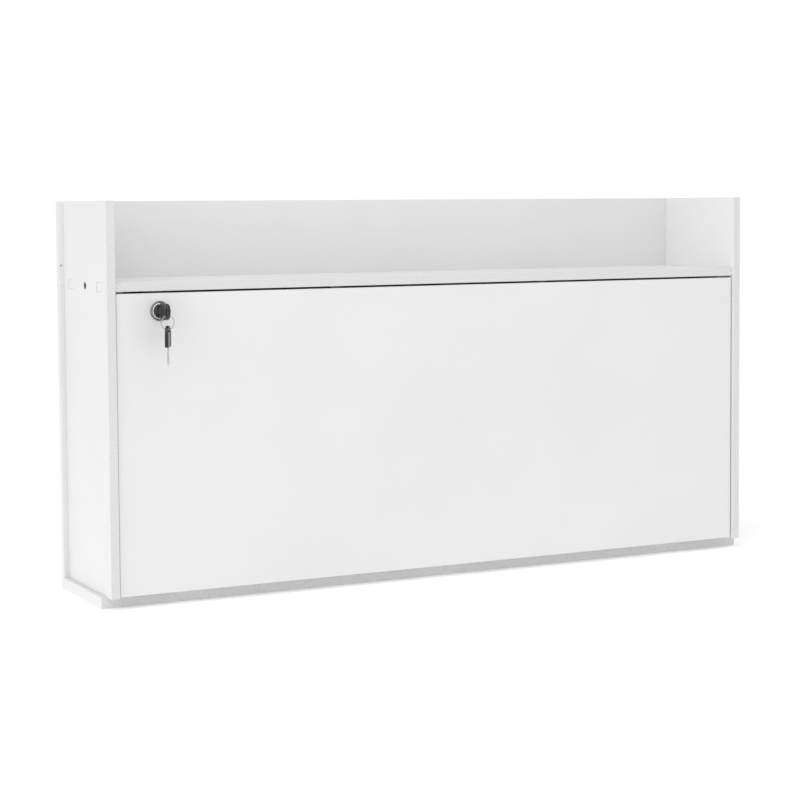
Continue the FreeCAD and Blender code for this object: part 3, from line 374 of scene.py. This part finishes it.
# Which way each set of screws goes in: the axis and its sign, with the body that it rides on.
SCREW_SETS = {
    "base_screws": (2, 1, "cabinet"), "back_screws": (1, -1, "cabinet"),
    "inner_shelf_screws": (0, 0, "cabinet"), "hinge_screws_base": (2, -1, "cabinet"),
    "hinge_screws_flap": (1, -1, "flap"), "stay_screws_side": (0, 0, "cabinet"),
    "stay_screws_flap": (1, -1, "flap"), "stop_screws": (0, 0, "cabinet"),
    "strike_screws": (2, 1, "cabinet"),
}
BOARD_SETS = ("base_screws", "back_screws", "inner_shelf_screws")
BOARD_SHANK, SMALL_SHANK = 1.9 * MM, 1.4 * MM
for name, (axis, sign, body) in SCREW_SETS.items():
    shank = BOARD_SHANK if name in BOARD_SETS else SMALL_SHANK
    grids = []
    for low, high in islands(name):
        # Screws along X go into the nearer side board, except the inner shelf's, which go inwards.
        outward = 1 if (low.x + high.x) > 0 else -1
        way = sign or (-outward if name == "inner_shelf_screws" else outward)
        size = high - low
        across = size[(axis + 1) % 3] / 2
        grids.append(placed(countersunk_screw(size[axis], across, shank), facing(low, high, axis, way)))
    piece(name.replace("screws", "screw_set"), grids, [zinc_plate], body, [name])


def socket_bolt(length, head, head_thick, shank, key_width):
    """A bolt drawn from its face down the Z axis: a hexagonal socket, whose edge is half the key's
    width over the cosine of the angle from the nearest flat, a rolled head and a plain shank."""
    angles = around(48)
    flat = (angles + TURN / 12) % (TURN / 6) - TURN / 12
    hexagon = key_width / 2 / np.cos(flat)
    rolled = 0.5 * MM
    roll = [(head - rolled * (1 - sin(turn)), rolled * (1 - cos(turn)))
            for turn in np.linspace(0, pi / 2, 6)]
    return lathed([(0, head_thick * 0.6), (hexagon * 0.98, head_thick * 0.6), (hexagon, 0), *roll,
                   (head, head_thick), (shank, head_thick), (shank, length), (0, length)], angles)


BOLT_HEAD_THICK, BOLT_SHANK, BOLT_KEY = 3 * MM, 2.5 * MM, 4 * MM
bolts = []
for low, high in islands("shelf_bolts"):
    way = -1 if (low.x + high.x) > 0 else 1
    size = high - low
    bolts.append(placed(socket_bolt(size.x, size.z / 2, BOLT_HEAD_THICK, BOLT_SHANK, BOLT_KEY),
                        facing(low, high, 0, way)))
piece("shelf_bolt_set", bolts, [black_nickel_and_gap_shade], "cabinet", ["shelf_bolts"])


# ---------------------------------------------------------------- cam lock
def lock_case():
    """The lock's case, turned about the Y axis: a domed flange with a polished bead inside it,
    and a barrel whose thread is a helix: its radius falls by the thread's depth times a triangle
    wave of the depth along the barrel less the angle. The barrel is cut flat on both sides."""
    low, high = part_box("lock_barrel")
    outer = (high.x - low.x) / 2
    flange, crown, thread, pitch = 2.5 * MM, 8.4 * MM, 0.35 * MM, 1.0 * MM
    barrel, bore, rim = outer - 0.85 * MM, 6.05 * MM, 6.95 * MM
    flat = barrel - 1.3 * MM
    length = high.y - low.y
    rim_depth = 2.55 * MM
    angles = around(120)
    inside = [(bore, length), (bore, rim_depth), (rim, rim_depth)]
    half = (crown - rim) / 2
    ring = [(rim + half * (1 - cos(turn)), half * 1.3 * (1 - sin(turn))) for turn in np.linspace(0, pi, 13)]
    ogee = [(crown + (outer - crown) * sin(turn), half + (1.9 * MM - half) * (1 - cos(turn)))
            for turn in np.linspace(0.12, pi / 2, 10)]
    back = [(outer, flange), (barrel, flange)]
    depths = np.arange(flange + 0.3 * MM, length - 0.5 * MM, pitch / 6)
    screw = []
    for depth in depths:
        wave = np.abs(((depth / pitch - angles / TURN) % 1) * 2 - 1)
        screw.append((barrel - thread * wave, depth))
    end = [(barrel - thread, length), (bore, length)]
    rows = [*inside, *ring, *ogee, *back, *screw, *end]
    points = lathed(rows, angles)
    threaded = len(inside) + len(ring) + len(ogee) + 1
    points[threaded:-1, :, 0] = np.clip(points[threaded:-1, :, 0], -flat, flat)
    bands = np.zeros(len(rows) - 1, int)
    bands[len(inside) - 1:len(inside) + len(ring) - 1] = 1
    middle = (low + high) / 2
    # The profile's Z runs along the desk's Y.
    turned = Matrix.Translation((middle.x, low.y, middle.z)) @ Matrix.Rotation(-pi / 2, 4, "X")
    piece("lock_case", [placed(points, turned)], [smoked_chrome, bright_chrome], "flap",
          ["lock_barrel"], bands)


# ---------------------------------------------------------------- keys on their ring
HEAD_LENGTH, HEAD_HALF, HEAD_THICK = 22 * MM, 8.5 * MM, 3.6 * MM
SLOT_LINE, SLOT_HALF, SLOT_WIDTH = -17.2 * MM, 5 * MM, 3.5 * MM
BLADE_LENGTH, BLADE_HALF, BLADE_THICK = 18.5 * MM, 2.8 * MM, 1.5 * MM


def key_head():
    """A key's moulded head, drawn lying along Y with its shoulder at the origin. It is a ring
    round the slot: each column looks out from the slot's centre at one angle, and each row lies a
    set distance in from the outline or out from the slot's edge, at a set height. The outline is
    a block that ends in a half round; the slot is a bar with round ends."""
    angles = around(144)
    out_y, out_z = np.cos(angles), np.sin(angles)
    # To the shoulder, to the long edges, and to the half round behind them.
    shoulder = np.where(out_y > 1e-6, -SLOT_LINE / np.maximum(out_y, 1e-6), 1)
    edge = HEAD_HALF / np.maximum(np.abs(out_z), 1e-6)
    arc_centre = HEAD_HALF - HEAD_LENGTH
    offset = SLOT_LINE - arc_centre
    half_b = offset * out_y
    arc = -half_b + np.sqrt(half_b ** 2 - offset ** 2 + HEAD_HALF ** 2)
    straight = SLOT_LINE + edge * out_y > arc_centre
    outline = np.minimum(np.where(straight, edge, arc), shoulder)
    # The slot's edge: its long sides, or its round ends.
    slot_round = SLOT_WIDTH / 2
    slot_reach = SLOT_HALF - slot_round
    side = slot_round / np.maximum(np.abs(out_y), 1e-6)
    half_c = slot_reach * np.abs(out_z)
    cap = half_c + np.sqrt(np.maximum(half_c ** 2 - slot_reach ** 2 + slot_round ** 2, 0))
    slot = np.where(side * np.abs(out_z) < slot_reach, side, cap)
    top = HEAD_THICK / 2
    lip, easing, panel = 1.3 * MM, 0.7 * MM, 0.3 * MM
    rows = [(slot, 0.0), (slot, top - panel - easing * 0.5), (slot + easing * 0.5, top - panel)]
    rows += [(outline - lip - easing, top - panel), (outline - lip - easing * 0.5, top)]
    rows += [(outline - easing * (1 - sin(turn)), top - easing * (1 - cos(turn)))
             for turn in np.linspace(0, pi / 2, 6)]
    rows += [(outline, 0.0)]
    rows += [(radius, -height) for radius, height in rows[-2:0:-1]] + [rows[0]]
    reach = np.stack([np.broadcast_to(row[0], angles.shape) for row in rows])
    height = np.stack([np.broadcast_to(row[1], angles.shape) for row in rows])
    return np.stack([height, SLOT_LINE + reach * out_y, reach * out_z], -1)


def key_blade():
    """A key's flat blade along Y from inside the head: its lower edge rises by the V notches,
    each its depth less the distance from its middle, both corners of the tip are cut off, and
    one groove runs along each face. Each row is the outline of one section."""
    along = np.concatenate([[-2 * MM], np.linspace(0, BLADE_LENGTH, 150)])
    lower, upper = np.full(along.shape, -BLADE_HALF), np.full(along.shape, BLADE_HALF)
    for share, depth in ((0.36, 1.1), (0.52, 0.7), (0.68, 1.3), (0.84, 0.9)):
        lower += np.maximum(0, depth * MM - np.abs(along - share * BLADE_LENGTH))
    point = np.maximum(0, 1.6 * MM - (BLADE_LENGTH - along))
    lower, upper = lower + point, upper - point
    share = np.concatenate([np.linspace(0, 1, 15), np.linspace(1, 0, 15)])
    half = BLADE_THICK / 2
    edge = np.minimum(1, np.minimum(share, 1 - share) * 12) * 0.25 + 0.75
    across = lower[:, None] + (upper - lower)[:, None] * share
    groove = 0.35 * MM * np.exp(-((across - 0.7 * MM) / (0.5 * MM)) ** 4)
    side = np.where(np.arange(30) < 15, 1, -1)
    thick = (half * edge - groove) * side
    points = np.stack([thick, np.broadcast_to(along[:, None], across.shape), across], -1)
    first, last = points[:1].copy(), points[-1:].copy()
    first[..., 0] = last[..., 0] = 0
    return np.concatenate([first, points, last])


def key_places():
    """Where each key's shoulder lies, from the CAD heads: the key in the lock lies
    along Y, and the spare hangs down, turned a little about the vertical."""
    low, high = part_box("key_head")
    in_lock = Matrix.Translation(((low.x + high.x) / 2, high.y, (low.z + high.z) / 2))
    low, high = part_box("spare_key_head")
    turn = Matrix.Rotation(radians(-31), 4, "Z") @ Matrix.Rotation(radians(-90), 4, "X")
    spare = Matrix.Translation(((low.x + high.x) / 2, (low.y + high.y) / 2, low.z)) @ turn
    return {"key": in_lock, "spare_key": spare}


def split_ring():
    """A split ring: two turns of wire side by side, so the wire steps sideways by its own width
    half way along, where its two ends meet the step."""
    low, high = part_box("key_ring")
    middle = (low + high) / 2
    half = (high.y - low.y) / 2
    wire = half / 2 * 0.97
    radius = (high.z - low.z) / 2 - half
    turns = np.linspace(0, 2 * TURN, 360)
    step = np.clip((turns - TURN) / 0.5 + 0.5, 0, 1)
    beside = wire * (2 * (3 * step ** 2 - 2 * step ** 3) - 1)
    angle = turns + radians(200)
    path = np.stack([middle.x + radius * np.cos(angle), middle.y + beside,
                     middle.z + radius * np.sin(angle)], -1)
    piece("split_ring", [tube(path, wire, 16)], [spring_wire], "ring", ["key_ring"])


lock_case()
for name, place in key_places().items():
    prefix = "" if name == "key" else "spare_"
    piece(f"{prefix}moulded_head", [placed(key_head(), place)], [black_abs], name,
          [f"{prefix}key_head"])
    piece(f"{prefix}cut_blade", [placed(key_blade(), place)], [key_blank], name,
          [f"{prefix}key_blade"])
split_ring()


# ---------------------------------------------------------------- floor, light and camera
# The floor's own light, as a share of full white.
FLOOR_GLOW = 0.24
# The floor lies this far under the base, so that the two surfaces do not fight.
FLOOR_DROP = 0.3 * MM
# The surround's strength as a light, and as it is seen behind the desk.
SURROUND, SURROUND_SEEN = 0.74, 1.05
WHITE = (1, 1, 1, 1)


def pale_floor():
    """A matt white studio table, level everywhere, lit a little from below so that nothing on it
    stands in a hard shadow, with the slight unevenness of painted board."""
    finish = blank("matt_white_floor")
    place = add(finish, "TexCoord").outputs["Object"]
    cloud = add(finish, "TexNoise", {"Vector": place, "Scale": per_metre(900), "Detail": 2})
    colour = add(finish, "Mix", {"Factor": cloud, "A": linear("FBFBFB"), "B": linear("FEFEFE")}, **COLOUR)
    shader = add(finish, "BsdfPrincipled", {"Base Color": colour, "Roughness": 0.9,
                                            "Emission Color": WHITE, "Emission Strength": FLOOR_GLOW})
    add(finish, "OutputMaterial", {"Surface": shader})
    mesh = bpy.data.meshes.new("studio_floor")
    reach, level = 14.0, -FLOOR_DROP
    mesh.from_pydata([(-reach, -reach, level), (reach, -reach, level), (reach, reach, level),
                      (-reach, reach, level)], [], [(0, 1, 2, 3)])
    mesh.materials.append(finish)
    floor = bpy.data.objects.new("studio_floor", mesh)
    bpy.context.scene.collection.objects.link(floor)


def soft_light(name, place, aim, size, watts):
    """A large soft box at a place, facing a point."""
    lamp = bpy.data.lights.new(name, "AREA")
    lamp.shape, lamp.size, lamp.energy = "DISK", size, watts
    made = bpy.data.objects.new(name, lamp)
    bpy.context.scene.collection.objects.link(made)
    made.location = place
    made.rotation_euler = (Vector(aim) - Vector(place)).to_track_quat("-Z", "Y").to_euler()


def even_light(name, towards, strength, spread):
    """Light from a bright ceiling or wall far away: parallel, but spread over a wide angle."""
    lamp = bpy.data.lights.new(name, "SUN")
    lamp.energy, lamp.angle = strength, radians(spread)
    made = bpy.data.objects.new(name, lamp)
    bpy.context.scene.collection.objects.link(made)
    made.rotation_euler = Vector(towards).to_track_quat("-Z", "Y").to_euler()


pale_floor()
even_light("left_wall_light", (1, 0.35, -0.5), 0.58, 60)
soft_light("front_box", (-0.5, -0.6, 1.6), (-0.1, 0.0, 0.2), 1.2, 6.0)

world = bpy.data.worlds.new("studio_surround")
bpy.context.scene.world = world
world.use_nodes = True
world.node_tree.nodes.clear()
seen = add(world, "LightPath").outputs["Is Camera Ray"]
level = add(world, "Mix", {"Factor": seen, "A": SURROUND, "B": SURROUND_SEEN})
surround = add(world, "Background", {"Color": WHITE, "Strength": level})
add(world, "OutputWorld", {"Surface": surround})
bpy.context.scene.view_settings.view_transform = "Standard"

# The camera's place, where it looks, its tilt about that line, and its lens. It stands level with
# the desk's top, and the shift holds the desk in the frame while the uprights stay nearly parallel.
CAMERA_PLACE = (-1.04606, -1.99721, 0.41164)
YAW, PITCH, ROLL = radians(26.70), radians(-3.55), radians(-0.41)
ahead = Vector((sin(YAW) * cos(PITCH), cos(YAW) * cos(PITCH), sin(PITCH)))
right = Vector((cos(YAW), -sin(YAW), 0))
up = right.cross(ahead)
lens = bpy.data.cameras.new("camera")
lens.lens, lens.sensor_width, lens.shift_x, lens.shift_y = 89.35, 36, 0.01875, -0.0875
camera = bpy.data.objects.new("camera", lens)
bpy.context.scene.collection.objects.link(camera)
across = cos(ROLL) * right + sin(ROLL) * up
upward = cos(ROLL) * up - sin(ROLL) * right
turned = Matrix((across, upward, -ahead)).transposed().to_4x4()
camera.matrix_world = Matrix.Translation(CAMERA_PLACE) @ turned
bpy.context.scene.camera = camera
